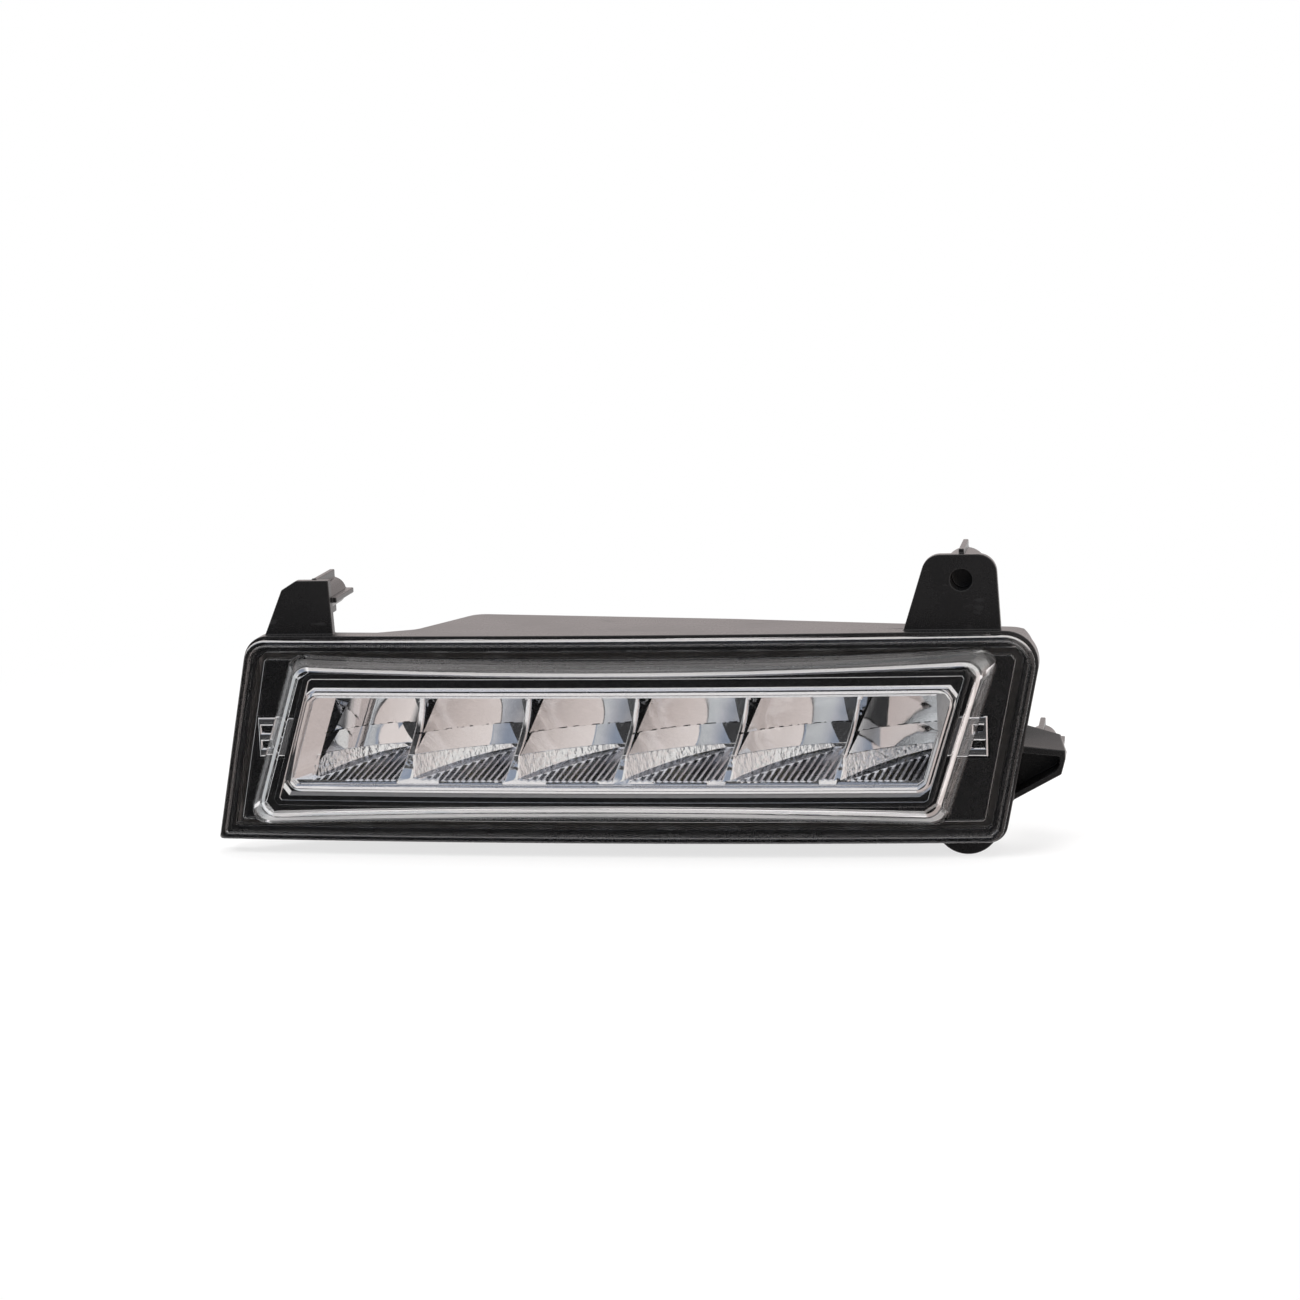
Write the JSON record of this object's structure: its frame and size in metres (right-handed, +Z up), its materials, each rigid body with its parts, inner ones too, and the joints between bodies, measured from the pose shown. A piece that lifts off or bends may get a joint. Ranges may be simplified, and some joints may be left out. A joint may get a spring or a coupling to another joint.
{
  "type": "daytime running light",
  "caption": "Left car daytime running light: leaning clear lens over a row of mirror cells in a black wedge-shaped housing with finned fixing bosses and a rear plug socket.",
  "frame": {"origin": "on the axis of the upper outer fixing bore, at its mouth on the boss's rear end", "axes": "+X along the lamp towards the outer side of the car, +Y back from the lens along the fixing bores, +Z up"},
  "size_m": [0.2555, 0.0671, 0.0899],
  "materials": {
    "clear_lens": "clear polycarbonate, polished",
    "sealant": "matt",
    "black_housing": "satin black moulding",
    "vent_rubber": "matt",
    "bright_reflector": "vacuum-metallised plastic, mirror bright",
    "black_bezel": "gloss black",
    "board_mask": "white solder mask",
    "thermal_pad": "matt",
    "bare_aluminium": "extruded, bare",
    "screw_steel": "zinc plated",
    "chip_resin": "matt",
    "ferrite": "matt",
    "capacitor_resin": "moulded ochre resin",
    "led_package": "phosphor yellow under clear resin",
    "tinned_brass": "tinned"
  },
  "bodies": {
    "root": {"cover_lens": "clear_lens", "lens_seal": "sealant", "rear_housing": "black_housing", "vent_cap": "vent_rubber", "reflector": "bright_reflector", "inner_bezel": "black_bezel", "led_board": "board_mask", "thermal_pad": "thermal_pad", "heat_sink": "bare_aluminium", "board_screws": "screw_steel", "driver_chip": "chip_resin", "choke": "ferrite", "capacitor_1": "capacitor_resin", "capacitor_2": "capacitor_resin", "led_1": "led_package", "led_2": "led_package", "led_3": "led_package", "led_4": "led_package", "led_5": "led_package", "led_6": "led_package", "terminal_1": "tinned_brass", "terminal_2": "tinned_brass", "terminal_3": "tinned_brass"}
  },
  "joints": []
}
